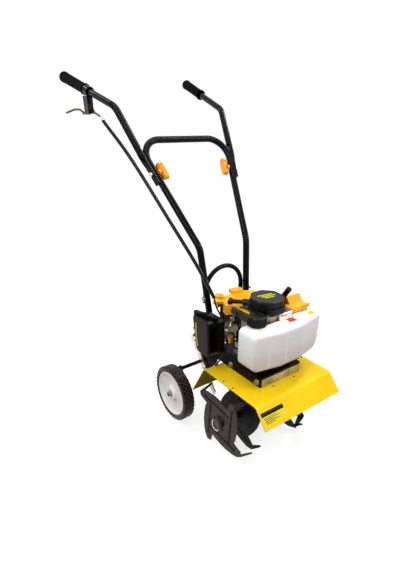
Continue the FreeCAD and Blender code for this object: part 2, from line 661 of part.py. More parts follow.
knobs = [cyl(V(-131, -146, z), V(-108, -146, z), 6.5) for z in (324, 346)]
cov = fuse([cov, ridge] + knobs)
cov = cov.cut(box(-68, -40, AIR_Y0 + 7, AIR_Y1 - 7, AIR_Z0 + 14, AIR_Z1 - 16))
save(cov, "air_cleaner_cover")
base = outline(base, [9, 9, 14, 14]).extrude(V(0, -98 - AIR_Y1, 0))
base.translate(V(0, AIR_Y1 - AIR_Y0, 0))
base = base.makeFillet(5, [e for e in base.Edges if e.BoundBox.YMin > -99])
save(base, "air_cleaner_base")

ends = [V(0, TANK_RIGHT, TANK_Z0), V(0, TANK_RIGHT, TANK_Z1),
        V(0, TANK_LEFT + TANK_LEAN, TANK_Z1), V(0, TANK_LEFT, TANK_Z0)]
tank = outline(ends, [20, 16, 18, 34]).extrude(V(TANK_X1 + 20, 0, 0))
# seen from above, the front bulges and the left end is rounded off
tank = tank.common(plate([(TANK_X0, TANK_RIGHT - 1), (TANK_X1 - 17, TANK_RIGHT - 1),
                          (TANK_X1, TANK_RIGHT + 86), (TANK_X1, TANK_LEFT - 92),
                          (TANK_X1 - 15, TANK_LEFT - 24),
                          (TANK_X1 - 25, TANK_LEFT + 11),
                          (TANK_X0 + 12, TANK_LEFT + 11),
                          (TANK_X0, TANK_LEFT - 15)],
                         TANK_Z0 - 1, TANK_Z1 + 1))
tank = tank.makeFillet(TANK_EDGE, [e for e in tank.Edges if not along_x(e)])
pocket = box(0, 54, -51, 62, TANK_Z0 - 19, TANK_Z1 + 20)
pocket = pocket.makeFillet(10, [e for e in pocket.Edges
                                if e.BoundBox.ZLength > 1])
CAP = V(38, -66, TANK_Z1 + 1.5)
neck = Part.makeCylinder(14.5, 6, CAP - V(0, 0, 6))
save(fuse([tank.cut(pocket), neck]), "fuel_tank")
cap = Part.makeCylinder(26.5, 26, CAP + V(0, 0, SEAT))
cap = cap.makeChamfer(2.5, [e for e in cap.Edges if e.BoundBox.ZMin > CAP.z + 25])
save(cap, "tank_cap")
tb = fuse([box(50, 80, -76, 76, GUARD_Z + RAIL_H, GUARD_Z + RAIL_H + 4),
           box(56, 60, -56, 56, GUARD_Z + RAIL_H, TANK_Z0 - SEAT),
           box(58, 96, -50, 50, TANK_Z0 - 4, TANK_Z0 - SEAT)])
save(tb, "tank_bracket")
supply = tube([V(-52.2, -68, 336), V(-42, -74, 334), V(-30, -84, 304),
               V(0, -80, 312), V(TANK_X0 - 1, -80, 316)], [4, 10, 10], 3)
primer = tube([V(-96, -109, AIR_Z0 - 6), V(-118, -110, 258),
               V(-104, -110, 233), V(-76, -110, 233), V(-50, -100, 284),
               V(-56, -84, 312)], [10, 12, 12, 12], 2.5)
save(group([supply, primer]), "fuel_hose")
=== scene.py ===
"""Looks of a walk-behind garden tiller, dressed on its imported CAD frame."""

import json
import math

import bmesh
import bpy
from mathutils import Matrix, Vector


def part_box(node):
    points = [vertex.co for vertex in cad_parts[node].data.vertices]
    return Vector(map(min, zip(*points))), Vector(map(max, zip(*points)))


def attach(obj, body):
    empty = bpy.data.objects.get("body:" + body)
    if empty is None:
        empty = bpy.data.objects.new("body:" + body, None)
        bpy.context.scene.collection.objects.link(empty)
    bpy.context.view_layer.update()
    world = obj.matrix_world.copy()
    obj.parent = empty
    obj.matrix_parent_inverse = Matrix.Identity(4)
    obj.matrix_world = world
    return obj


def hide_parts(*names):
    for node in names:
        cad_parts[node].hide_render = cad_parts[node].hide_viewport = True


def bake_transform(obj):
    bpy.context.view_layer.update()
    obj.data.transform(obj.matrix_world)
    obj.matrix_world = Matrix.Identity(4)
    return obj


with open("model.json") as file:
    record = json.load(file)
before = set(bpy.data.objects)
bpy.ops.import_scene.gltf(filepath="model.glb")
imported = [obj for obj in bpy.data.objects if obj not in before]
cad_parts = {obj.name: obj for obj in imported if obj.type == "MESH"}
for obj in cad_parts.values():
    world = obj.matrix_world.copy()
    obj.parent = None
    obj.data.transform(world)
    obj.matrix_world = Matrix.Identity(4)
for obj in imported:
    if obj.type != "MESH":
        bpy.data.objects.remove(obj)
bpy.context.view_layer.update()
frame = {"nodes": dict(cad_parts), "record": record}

MM = 0.001
WELD = 0.002 * MM  # points of a mesh nearer than this are one
X, Y, Z = Vector((1, 0, 0)), Vector((0, 1, 0)), Vector((0, 0, 1))
SIDES = ("right", "left")
SHAFT_LINE = sum(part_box("tine_shaft"), Vector()) / 2
SHAFT_Z = SHAFT_LINE.z / MM
BODY_OF = {
    node: body
    for body, nodes in frame["record"]["behaviour"]["bodies"].items()
    for node in nodes
}


def at(x, y, z):
    """A place in millimetres: ahead of the tine shaft, to the left, above the ground."""
    return Vector((SHAFT_LINE.x + x * MM, y * MM, z * MM))


# ---- finishes --------------------------------------------------------------


def ink(code):
    """An sRGB hex colour as linear red, green, blue and alpha."""
    parts = [int(code[i : i + 2], 16) / 255 for i in (0, 2, 4)]
    return [p / 12.92 if p <= 0.04045 else ((p + 0.055) / 1.055) ** 2.4 for p in parts] + [1.0]


def add(tree, kind, sockets=(), **settings):
    """One node, its settings, and its inputs either set or linked."""
    made = tree.nodes.new("ShaderNode" + kind)
    for name, value in settings.items():
        setattr(made, name, value)
    for name, value in dict(sockets).items():
        if isinstance(value, bpy.types.NodeSocket):
            tree.links.new(value, made.inputs[name])
        else:
            made.inputs[name].default_value = value
    return made


def coat(name, colour, roughness, **more):
    """A material with its Principled shader set; returns material, tree and shader."""
    material = bpy.data.materials.new(name)
    material.use_nodes = True
    tree = material.node_tree
    shader = tree.nodes["Principled BSDF"]
    shader.inputs["Base Color"].default_value = ink(colour)
    shader.inputs["Roughness"].default_value = roughness
    for socket, value in more.items():
        shader.inputs[socket.replace("_", " ")].default_value = value
    return material, tree, shader


def place(tree, axis=None):
    """Object coordinates, or one of them."""
    spot = add(tree, "TexCoord").outputs["Object"]
    return add(tree, "SeparateXYZ", {"Vector": spot}).outputs[axis] if axis else spot


def cloud(tree, size_mm, detail=2.0, stretch=(1, 1, 1)):
    """Soft noise whose blotches are about size_mm across, from 0 to 1."""
    mapped = add(tree, "Mapping", {"Vector": place(tree), "Scale": stretch})
    noise = add(
        tree,
        "TexNoise",
        {"Vector": mapped.outputs["Vector"], "Scale": 1 / (size_mm * MM), "Detail": detail},
    )
    return noise.outputs["Fac"]


def spread(tree, value, low, high, start=0.35, end=0.65):
    """A pattern that runs from start to end, stretched to run from low to high."""
    ranged = add(
        tree,
        "MapRange",
        {"Value": value, "From Min": start, "From Max": end, "To Min": low, "To Max": high},
    )
    return ranged.outputs["Result"]


def ramp(tree, pattern, stops):
    """A colour that follows a pattern through (position, hex colour) stops."""
    made = add(tree, "ValToRGB", {"Fac": pattern})
    steps = made.color_ramp.elements
    for step, (position, colour) in zip((steps[0], steps[1]), (stops[0], stops[-1])):
        step.position, step.color = position, ink(colour)
    for position, colour in stops[1:-1]:
        steps.new(position).color = ink(colour)
    return made.outputs["Color"]


def tint(tree, shader, pattern, colours):
    """Base colour blended evenly between two or more hex colours by a pattern."""
    stops = [(0.3 + 0.4 * i / (len(colours) - 1), c) for i, c in enumerate(colours)]
    tree.links.new(ramp(tree, pattern, stops), shader.inputs["Base Color"])


def relief(tree, shader, pattern, depth_mm):
    """Surface relief of a pattern, its height given in millimetres."""
    bump = add(tree, "Bump", {"Height": pattern, "Distance": depth_mm * MM})
    tree.links.new(bump.outputs["Normal"], shader.inputs["Normal"])


def dulled(tree, shader, pattern, low, high):
    """Roughness that wanders between two values."""
    tree.links.new(spread(tree, pattern, low, high), shader.inputs["Roughness"])


def painted(name, colours, roughness, shine, peel_mm=3.0, peel_depth=0.03):
    """Baked powder paint: even colour, a little orange peel, gloss that wanders slightly."""
    tone_mm, gloss_mm = 45, 30
    material, tree, shader = coat(name, colours[0], roughness, Specular_IOR_Level=shine)
    tint(tree, shader, cloud(tree, tone_mm), colours)
    relief(tree, shader, cloud(tree, peel_mm, 1.0), peel_depth)
    dulled(tree, shader, cloud(tree, gloss_mm), roughness * 0.85, roughness * 1.2)
    return material


def moulded(name, colours, roughness, shine, grain_mm=0.9, grain_depth=0.05):
    """Injection-moulded plastic with faint flow marks, its grain drawn coarse enough to show."""
    flow_mm, gloss_mm = 25, 12
    material, tree, shader = coat(name, colours[0], roughness, IOR=1.49, Specular_IOR_Level=shine)
    tint(tree, shader, cloud(tree, flow_mm), colours)
    relief(tree, shader, cloud(tree, grain_mm), grain_depth)
    dulled(tree, shader, cloud(tree, gloss_mm, 3.0), roughness * 0.85, roughness * 1.2)
    return material


def bare_metal(name, colours, roughness, blotch_mm=7.0, grain_depth=0.02, stretch=(1, 1, 1)):
    """Uncoated metal: slow blotches of tone, and a grain that runs one way if stretched."""
    grain_mm = 2.0  # rolled and blasted grain is finer: this is as coarse as it needs to show
    material, tree, shader = coat(name, colours[0], roughness, Metallic=1.0)
    tint(tree, shader, cloud(tree, blotch_mm, 2.0), colours)
    relief(tree, shader, cloud(tree, grain_mm, 2.0, stretch), grain_depth)
    dulled(tree, shader, cloud(tree, blotch_mm, 2.0, stretch), roughness * 0.8, roughness * 1.25)
    return material


def blown_polyethylene():
    """Natural HDPE, blow moulded: milky and waxy, with painted shade that darkens and warms its
    colour towards the foot.
    """
    material, tree, shader = coat(
        "natural_hdpe_with_painted_shade", "e6e2e0", 0.36, IOR=1.54, Subsurface_Weight=0.3
    )
    shader.inputs["Subsurface Radius"].default_value = (0.022, 0.018, 0.014)
    shader.inputs["Subsurface Scale"].default_value = 0.5
    low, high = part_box("fuel_tank")
    shade_height = spread(tree, place(tree, "Z"), 0.0, 1.0, low.z, high.z)
    # colour stops by height: painted shade, darker and warmer towards the foot
    stops = ((0.05, "cbbfb2"), (0.4, "d7d0cb"), (0.47, "dcd9d8"), (0.9, "e5e6e9"))
    # two pinched lines down the front, drawn paler than the tank around them
    across, reach = place(tree, "Y"), 1.8 * MM
    folds = [
        add(tree, "Math", {0: across, 1: y * MM, 2: reach}, operation="COMPARE").outputs[0]
        for y in (-70, -14)
    ]
    creases = add(tree, "Math", {0: folds[0], 1: folds[1]}, operation="ADD").outputs[0]
    paler = add(tree, "Math", {0: creases, 1: 0.55}, operation="MULTIPLY").outputs[0]
    # inputs 6 and 7 of a Mix node are its two colours, and output 2 is their blend
    mixed = add(
        tree,
        "Mix",
        {"Factor": paler, 6: ramp(tree, shade_height, stops), 7: ink("f4f1ee")},
        data_type="RGBA",
    )
    tree.links.new(mixed.outputs[2], shader.inputs["Base Color"])
    relief(tree, shader, creases, 0.4)
    return material


def tread_rubber():
    """Moulded tyre rubber: near black, its gloss in patches where it rubs."""
    material, tree, shader = coat("moulded_tyre_rubber", "121011", 0.3, Specular_IOR_Level=0.2)
    tint(tree, shader, cloud(tree, 12, 3.0), ("070606", "0c0b0b", "151312"))
    relief(tree, shader, cloud(tree, 4, 2.0), 0.03)
    dulled(tree, shader, cloud(tree, 8, 3.0), 0.16, 0.4)
    return material


def grip_rubber():
    """Slip-on grip of soft PVC: matt black, its surface only just uneven."""
    material, tree, shader = coat("moulded_grip_rubber", "030304", 0.6, Specular_IOR_Level=0.02)
    tint(tree, shader, cloud(tree, 18), ("020203", "050506"))
    relief(tree, shader, cloud(tree, 6.0, 2.0), 0.01)
    return material


def stoved_tine_paint():
    """Dip-painted spring steel: charcoal and satin, paler where it has been handled."""
    material, tree, shader = coat(
        "stoved_charcoal_on_steel", "383330", 0.5, Specular_IOR_Level=0.2
    )
    tint(tree, shader, cloud(tree, 22, 4.0), ("242120", "2f2c29", "3b3734"))
    relief(tree, shader, cloud(tree, 3.0, 4.0), 0.06)
    dulled(tree, shader, cloud(tree, 9, 3.0), 0.4, 0.62)
    return material


# Powder coat over steel tube: near black, with long clean highlights.
POWDER_BLACK = painted("gloss_black_powder_coat", ("020203", "030304"), 0.16, 0.1, 12.0, 0.001)
# The same coat laid thinner on plates and bars: softer highlights.
RAIL_BLACK = painted("satin_black_powder_coat", ("090808", "0f0d0c"), 0.4, 0.07, 2.0, 0.02)
# Powder coat on the sheet-steel guard: a strong warm yellow.
GUARD_YELLOW = painted("yellow_powder_coat", ("e6bf12", "edc818"), 0.32, 0.1, 3.5, 0.015)
# The guard's underside: the same paint, darker and dull, as painted shade.
GUARD_UNDERSIDE_SHADE = painted("yellow_paint_underside_shade", ("a88a0a", "bd9c0c"), 0.8, 0.02, 3.5, 0.015)
# Enamel over the gearbox's sand-cast skin: black and wet-looking, with a pebbled sheen.
GEAR_BLACK = painted("black_casting_enamel", ("050506", "0a0a0b"), 0.26, 0.4, 6.0, 0.05)
# Dipped and stoved spring steel: charcoal, paler where soil and hands have rubbed it.
TINE = stoved_tine_paint()
# Painted shade: the same coat, near black and glossier, on the pressed channels and the hub slots.
TINE_CHANNEL_SHADE = painted("charcoal_channel_painted_shade", ("080807", "0d0c0b"), 0.35, 0.08)
# The inner plates' paint: nearly black, as painted shade.
TINE_INNER_SHADE = painted("inner_charcoal_painted_shade", ("12100f", "191716"), 0.45, 0.12)

# Glass-filled nylon shroud: orange-yellow, satin.
SHROUD_ORANGE = moulded("orange_yellow_nylon", ("e59e0c", "eeab14"), 0.34, 0.2, 0.9, 0.015)
# Clamp knobs: the same hue, a little flatter.
KNOB_ORANGE = moulded("orange_polypropylene", ("f0960a", "f79f10"), 0.42, 0.25, 0.9, 0.02)
# Recoil starter: spark-eroded ABS, with soft broad highlights.
STARTER_BLACK = moulded("black_abs_spark_grain", ("050505", "090909"), 0.3, 0.18, 0.9, 0.01)
# Air cleaner, plug cap and starter handle: black from a polished mould, quite shiny.
HOUSING_BLACK = moulded("black_polypropylene", ("050506", "090909"), 0.24, 0.13, 0.9, 0.004)
# Tank cap, and the discs of painted shade in the guard's holes: brown-black, a little duller.
CAP_BLACK = moulded("black_cap_polypropylene", ("070605", "0d0b09"), 0.3, 0.16, 0.9, 0.01)
# Extruded cable jacket: smooth and black, with one thin line of light along it.
CABLE_BLACK = moulded("black_pvc_jacket", ("030304", "060607"), 0.22, 0.15, 1.2, 0.004)
# Fuel hose: black and rubbery, its highlights blurred.
HOSE_BLACK = moulded("black_nitrile_hose", ("070707", "0c0c0b"), 0.42, 0.12, 1.2, 0.01)
# Reddish-brown lead where the throttle's inner cable leaves its lever: waxy.
LEAD_BROWN = moulded("brown_pvc_lead", ("3b2018", "4f2c20"), 0.4, 0.25)
# Wheel discs: white polypropylene, slightly yellowed, soft sheen.
WHEEL_WHITE = moulded("white_polypropylene", ("dad7d1", "e8e6e2"), 0.42, 0.5, 1.4, 0.03)
# Blow-moulded tank: milky, with light sinking into it, and painted shade towards its foot.
TANK_WHITE = blown_polyethylene()
# Moulded tyre: near black, shiny only where it rubs.
TYRE = tread_rubber()
# Tread rubber in the grooves: grey with dry soil, and lighter still as a painted sheen so the
# diamonds stand out.
TREAD_DUST_AND_SHEEN = moulded("groove_rubber_dust_and_sheen", ("322e2b", "534d49"), 0.6, 0.1, 3.0, 0.05)
# Soft grips: black that takes almost no light.
GRIP = grip_rubber()

# Shot-blasted aluminium castings: pale and silvery, their highlights broken up.
CAST_ALLOY = bare_metal("shot_blasted_cast_alloy", ("c4beb5", "dcd7cf"), 0.36, 8.0, 0.01)
# Cylinder fins and duct: the same alloy under soot, brown-grey and dull.
DARK_ALLOY = bare_metal("sooted_cast_alloy", ("3f3a35", "5d5750"), 0.55, 8.0, 0.06)
# Crankcase: die-cast alloy with a film of old oil, warm and a little yellow.
WARM_ALLOY = bare_metal("oiled_die_cast_alloy", ("9a8c73", "b9aa90"), 0.5, 9.0, 0.04)
# Small fittings with bright zinc plate: cool, with sharp highlights.
ZINC = bare_metal("bright_zinc_plate", ("c6c8c9", "d8dada"), 0.24)
# Depth stake: hot-dip galvanised strip, pale with cloudy patches.
GALVANISED = bare_metal("galvanised_strip", ("d3cfc6", "efebe3"), 0.36, 12.0)
# Throttle rod: zinc with a yellow chromate gone brown with handling.
YELLOW_ZINC = bare_metal("yellow_chromate_zinc", ("4d4030", "6e5e42"), 0.45, 9.0)
# Bolts of the frame and handlebar: passivated, faintly green.
PASSIVATED = bare_metal("passivated_zinc_bolts", ("85826a", "b3b092"), 0.35)
# Starter carrier: darker, unpolished sheet.
SHEET_STEEL = bare_metal("zinc_dipped_sheet", ("5a5957", "73716d"), 0.3, 14.0)
# Carburettor bowl and throttle pivot: brass fresh from the lathe, golden.
BRASS = bare_metal("machined_brass", ("b07c1c", "d99b24"), 0.3, 5.0)
# Front crossbar: cold-rolled bar, its sheen drawn out along its length.
LENGTHWISE = (1, 0.4, 1)
BAR_STEEL = bare_metal("cold_rolled_bar_steel", ("918979", "cbc2b0"), 0.45, 22.0, 0.02, LENGTHWISE)
# Muffler: thin steel browned by heat, its sheen gone.
SCORCHED = bare_metal("heat_tinted_steel", ("4b4038", "6d6257"), 0.45, 15.0, 0.04)

# Printed vinyl, left blank: smooth, its edges crisp. Black takes a dull sheen.
LABEL_BLACK = moulded("black_vinyl_film", ("0c0b06", "11100a"), 0.4, 0.12, 2.0, 0.005)
# Yellow vinyl: a shade greener and flatter than the paint under it.
LABEL_YELLOW = moulded("yellow_vinyl_film", ("dcc31c", "e2ca24"), 0.4, 0.2, 2.0, 0.005)
# Red vinyl: a flat orange-red.
LABEL_RED = moulded("red_vinyl_film", ("cc2c0e", "d63416"), 0.4, 0.1, 2.0, 0.005)
# Lime print: a sharp yellow-green, on the housings as on the tank.
LABEL_LIME = moulded("lime_printed_film", ("b5b608", "c4c510"), 0.4, 0.1, 2.0, 0.005)

# ---- shapes ----------------------------------------------------------------


def piece(bm, name, body, materials, stands_for=(), sharp=34, paint=None):
    """Makes a bmesh a finished object on a body. paint(face centre) picks a material's index."""
    bmesh.ops.recalc_face_normals(bm, faces=bm.faces)
    limit = math.radians(sharp)
    for face in bm.faces:
        face.smooth = True
        if paint:
            face.material_index = paint(face.calc_center_median())
    for edge in bm.edges:
        edge.smooth = edge.calc_face_angle(0) < limit
    mesh = bpy.data.meshes.new(name)
    bm.to_mesh(mesh)
    bm.free()
    made = bpy.data.objects.new(name, mesh)
    bpy.context.scene.collection.objects.link(made)
    for material in materials:
        mesh.materials.append(material)
    even = made.modifiers.new("even_shading", "WEIGHTED_NORMAL")
    even.keep_sharp = True
    if body:
        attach(made, body)
    if stands_for:
        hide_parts(*stands_for)
    return made


def soften(bm, verts, width_mm, segments=2, least_angle=50):
    """Bevels the edges of these vertices that turn sharper than least_angle."""
    edges = {e for v in verts for e in v.link_edges}
    least = math.radians(least_angle)
    edges = [e for e in edges if e.is_manifold and e.calc_face_angle() > least]
    bmesh.ops.bevel(
        bm,
        geom=edges,
        offset=width_mm * MM,
        affect="EDGES",
        segments=segments,
        profile=0.5,
        material=-1,
        clamp_overlap=True,
    )


def bar(bm, a, b, radius_mm, segments=20, far_radius_mm=None, edge=0.0):
    """A round or many-sided bar from a to b, its ends' edges broken."""
    line = b - a
    turn = line.to_track_quat("Z", "Y").to_matrix().to_4x4()
    made = bmesh.ops.create_cone(
        bm,
        cap_ends=True,
        segments=segments,
        radius1=radius_mm * MM,
        radius2=(far_radius_mm or radius_mm) * MM,
        depth=line.length,
        matrix=Matrix.Translation((a + b) / 2) @ turn,
    )
    if edge:
        soften(bm, made["verts"], edge)
    return made["verts"]


def block(bm, centre, along, up, size_mm, edge=0.4):
    """A box on a centre: size_mm is its length along, its width and its height up."""
    along, up = along.normalized(), up.normalized()
    side = up.cross(along).normalized()
    verts = bmesh.ops.create_cube(bm, size=1.0)["verts"]
    bmesh.ops.scale(bm, vec=Vector(size_mm) * MM, verts=verts)
    turn = Matrix((along, side, along.cross(side))).transposed().to_4x4()
    bmesh.ops.transform(bm, matrix=Matrix.Translation(centre) @ turn, verts=verts)
    if edge:
        soften(bm, verts, edge)


def turned(bm, profile, centre, axis, steps=48):
    """A shape turned about an axis: profile holds (radius, height) pairs in millimetres."""
    axis = axis.normalized()
    out = axis.orthogonal().normalized()
    closed = profile[0] == profile[-1]
    spots = profile[:-1] if closed else profile
    line = [bm.verts.new(centre + out * (r * MM) + axis * (h * MM)) for r, h in spots]
    edges = [bm.edges.new(pair) for pair in zip(line, line[1:] + (line[:1] if closed else []))]
    bmesh.ops.spin(
        bm,
        geom=line + edges,
        cent=centre,
        axis=axis,
        angle=math.tau,
        steps=steps,
        use_merge=True,
    )
    bmesh.ops.remove_doubles(bm, verts=bm.verts, dist=WELD)


def bolt(bm, seat, axis, across, height, washer):
    """A chamfered hexagon head, its width across flats, on a washer of a radius."""
    base = seat + axis * (1.2 * MM)
    bar(bm, seat, base, washer, 28, edge=0.3)
    head = bar(bm, base, base + axis * (height * MM), across / math.sqrt(3), 6)
    soften(bm, head, 0.45, least_angle=40)


def pipe(name, body, points, radius_mm, materials, stands_for=()):
    """A round flexible line on one smooth curve through its guiding points."""
    curve = bpy.data.curves.new(name, "CURVE")
    curve.dimensions = "3D"
    curve.bevel_depth = radius_mm * MM
    curve.bevel_resolution = 6
    curve.use_fill_caps = True
    spline = curve.splines.new("NURBS")
    spline.points.add(len(points) - 1)
    for spot, point in zip(spline.points, points):
        spot.co = (*point, 1)
    spline.order_u = 3
    spline.use_endpoint_u = True
    spline.resolution_u = 12
    guide = bpy.data.objects.new(name + "_guide", curve)
    mesh = bpy.data.meshes.new_from_object(guide)
    bm = bmesh.new()
    bm.from_mesh(mesh)
    bpy.data.objects.remove(guide)
    bmesh.ops.remove_doubles(bm, verts=bm.verts, dist=WELD)
    return piece(bm, name, body, materials, stands_for, 50)


def dressed(node, materials, edge=0.5, sharp=34, paint=None, extra=None):
    """A copy of a CAD node that stands for it, facets merged and edges broken.

    extra(bm) may shape it further, and paint(face centre) picks a material's index.
    """
    bm = bmesh.new()
    bm.from_mesh(frame["nodes"][node].data)
    bmesh.ops.remove_doubles(bm, verts=bm.verts, dist=WELD)
    flat = math.radians(0.5)
    bmesh.ops.dissolve_limit(bm, angle_limit=flat, verts=bm.verts, edges=bm.edges)
    if edge:
        soften(bm, bm.verts, edge)
    if extra:
        extra(bm)
    return piece(bm, node + "_shown", BODY_OF[node], materials, (node,), sharp, paint)


def film(name, body, corners, material, thickness_mm=0.25):
    """A thin label whose four corners lie on a surface; it stands just proud of it."""
    bm = bmesh.new()
    face = bm.faces.new([bm.verts.new(c) for c in corners])
    face.normal_update()
    out = face.normal.copy()
    raised = bmesh.ops.extrude_face_region(bm, geom=[face])["geom"]
    verts = [v for v in raised if isinstance(v, bmesh.types.BMVert)]
    bmesh.ops.translate(bm, vec=out * (thickness_mm * MM), verts=verts)
    piece(bm, name, body, (material,))


def both(function):
    """Runs a function for the right side, then for the left, with the side's sign in Y."""
    for side, word in zip((-1, 1), SIDES):
        function(side, word)


def round_axle(angle):
    """The direction at an angle round an axle that runs along Y, from straight ahead."""
    return Vector((math.cos(angle), 0, math.sin(angle)))


def from_axle(spot, axle):
    """How far a spot is from an axle that runs along Y, in millimetres."""
    return math.hypot(spot.x - axle.x, spot.z - axle.z) / MM


# ---- wheels ----------------------------------------------------------------


def tyre(side, word):
    """Small solid tyre: diamond lugs across a rounded tread, and a raised bead line."""
    low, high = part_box("tyre_" + word)
    disc_low, disc_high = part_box("wheel_disc_" + word)
    hub = (low + high) / 2
    radius, half = (high.z - low.z) / 2 / MM, (high.y - low.y) / 2 / MM
    rim = (disc_high.z - disc_low.z) / 2 / MM
    wall, tread = radius - rim, radius - 1.6
    shoulder = [
        (rim, half - 3.0),
        (rim + 0.12 * wall, half - 0.9),
        (rim + 0.26 * wall, half - 0.1),
        (rim + 0.34 * wall, half - 0.9),
        (rim + 0.62 * wall, half - 0.6),
        (tread - 2.4, half - 1.6),
        (tread - 0.6, half - 3.6),
        (tread, half - 6.0),
    ]
    ring = shoulder + [(r, -h) for r, h in reversed(shoulder)]
    bm = bmesh.new()
    turned(bm, ring + ring[:1], hub, Y * side, 96)
    pitches, rows, corners = 38, 4, 4
    middle_row, row_gap = (rows - 1) / 2, (2 * half - 8) / rows
    # the diamonds across the tread: how deep they are rooted, how tall, and how broad
    root, tall, wide_foot, wide_top = 1.8, 3.2, 6.8, 5.4
    for i in range(pitches * rows):
        row = i % rows
        up = round_axle(math.tau * (i // rows + 0.5 * (row % 2)) / pitches)
        foot = hub + up * ((tread - root) * MM) + Y * ((row - middle_row) * row_gap * MM)
        bar(bm, foot, foot + up * (tall * MM), wide_foot, corners, wide_top)
    # the small ones along both shoulders, which lean outwards
    root, tall, wide_foot, wide_top = 2.8, 2.5, 3.2, 2.2
    for i in range(2 * pitches):
        up = round_axle(math.tau * (i // 2 + 0.25) / pitches)
        edge = Y if i % 2 else -Y
        foot = hub + up * ((tread - root) * MM) + edge * ((half - 4.2) * MM)
        lean = (up + edge * 0.9).normalized()
        bar(bm, foot, foot + lean * (tall * MM), wide_foot, corners, wide_top)

    # the grooves take the grey rubber: dust, and a painted sheen
    def groove(centre):
        out, aside = from_axle(centre, hub), abs(centre.y - hub.y) / MM
        return int(tread - 3.5 < out < tread + 0.6 and aside < half - 5)

    name = "tyre_%s_shown" % word
    piece(bm, name, "wheel_" + word, (TYRE, TREAD_DUST_AND_SHEEN), ("tyre_" + word,), 40, groove)


def wheel_disc(side, word):
    """Moulded wheel: a rolled rim, a smooth shallow dish and a stepped hub with its bore."""
    low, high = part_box("wheel_disc_" + word)
    hub = (low + high) / 2
    rim, half = (high.z - low.z) / 2 / MM, (high.y - low.y) / 2 / MM
    profile = [
        (6.3, -half),
        (17, -half),
        (18, 13 - half),
        (24, 16 - half),
        (60, 17 - half),
        (64, 7 - half),
        (66, 4 - half),
        (rim, 3 - half),
        (rim, half - 2.5),
        (rim - 1.2, half - 0.5),
        (rim - 3.5, half),
        (rim - 5.5, half - 0.8),
        (rim - 7.0, half - 3.5),
        (rim - 11, half - 7.5),
        (rim - 20, half - 10.0),
        (40, half - 11.5),
        (27, half - 11.8),
        (24, half - 9.5),
        (21.5, half - 1.2),
        (20, half - 0.2),
        (12.5, half - 0.2),
        (11.8, half - 1.5),
        (6.3, half - 1.8),
    ]
    bm = bmesh.new()
    turned(bm, profile + profile[:1], hub, Y * side, 96)
    name = "wheel_disc_%s_shown" % word
    piece(bm, name, "wheel_" + word, (WHEEL_WHITE,), ("wheel_disc_" + word,), 40)


both(tyre)
both(wheel_disc)
dressed("axle_nuts", (PASSIVATED,))
dressed("wheel_carrier", (RAIL_BLACK,), 0.6)
dressed("hitch_bracket", (RAIL_BLACK,), 0.6)
dressed("depth_stake", (GALVANISED,))

# ---- tines and drive -------------------------------------------------------

# From the middle of the machine to the outward face of each outer tine plate.
OUTER_FACE = 153.0


def tine_plates(side, word):
    """Two pressed tine plates; the inner one is painted near black, and so are the pressed
    channels on the outer one's face: painted shade.
    """
    hub_edge = 30

    # the pressed channels take near-black paint: painted shade
    def channels(centre):
        aside = centre.y * side / MM
        return int(from_axle(centre, SHAFT_LINE) > hub_edge and aside > OUTER_FACE + 0.2)

    dressed("tine_star_outer_" + word, (TINE, TINE_CHANNEL_SHADE), paint=channels)
    dressed("tine_star_inner_" + word, (TINE_INNER_SHADE,))


def hub_slot_shade(side, word):
    """Thin dark patches round the hub of an outer tine plate: painted shade standing for slots."""
    slots, slot_circle, slot_size = 5, 20.5, (9, 12, 0.5)
    bm = bmesh.new()
    for i in range(slots):
        out = round_axle(math.tau * i / slots + 0.5)
        seat = at(0, side * OUTER_FACE, SHAFT_Z) + out * (slot_circle * MM)
        block(bm, seat, out, Y, slot_size, 0.2)
    piece(bm, "hub_slot_shade_" + word, "tine_rotor", (TINE_CHANNEL_SHADE,))


def hairpin(side, word):
    """Spring-wire pin through the hub, its outer leg curled round the shaft's end."""
    y = side * (OUTER_FACE + 5)
    leg = [(0, 112), (0, 76), (0, 69), (-8, 66), (-22, 68), (-27, 80), (-24, 96), (-13, 104)]
    points = [at(x, y, z) for x, z in leg]
    pipe("hairpin_" + word, "tine_rotor", points, 1.5, (ZINC,), ("tine_clips",))


both(tine_plates)
dressed("tine_shaft", (GEAR_BLACK,), 0.6)
both(hub_slot_shade)
both(hairpin)


def gearbox():
    """Worm gearbox with the bolts of its two covers and a filler plug behind."""
    cover_bolts, bolt_circle, cover_face, back = 6, 39, 31, 62
    dressed("gearbox", (GEAR_BLACK,), 0.8)
    bm = bmesh.new()
    for i in range(2 * cover_bolts):
        out = round_axle(math.tau * (i // 2 + 0.5) / cover_bolts)
        side = 1 if i % 2 else -1
        seat = at(0, side * cover_face, SHAFT_Z) + out * (bolt_circle * MM)
        bolt(bm, seat, Y * side, across=8, height=5, washer=5.5)
    bolt(bm, at(-back, 0, SHAFT_Z), -X, across=11, height=5, washer=7.5)
    piece(bm, "gearbox_bolts", "chassis", (PASSIVATED,))


gearbox()
dressed("drive_neck", (POWDER_BLACK,), 0.6)

# ---- guard and frame -------------------------------------------------------


def slope(bend, foot):
    """A slope of the guard: where it starts, its way down and its way out of the sheet."""
    start, end = (at(x, 0, z) for x, z in (bend, foot))
    down = (end - start).normalized()
    out = down.cross(Y)
    return start, down, out if out.z > 0 else -out


# The guard's flat top ends in a slope at the back and one in front.
REAR_SLOPE = slope((-87, 228), (-144, 126))
FRONT_SLOPE = slope((135, 228), (177, 180))


def guard():
    """Bent sheet guard: gloss paint outside, and painted shade underneath."""
    sheet = 2.0

    def underneath(centre):
        heights = [(centre - start).dot(out) for start, _, out in (REAR_SLOPE, FRONT_SLOPE)]
        heights.append(centre.z - REAR_SLOPE[0].z)
        return int(max(heights) / MM < 0.1 - sheet)

    dressed("tine_guard", (GUARD_YELLOW, GUARD_UNDERSIDE_SHADE), paint=underneath)


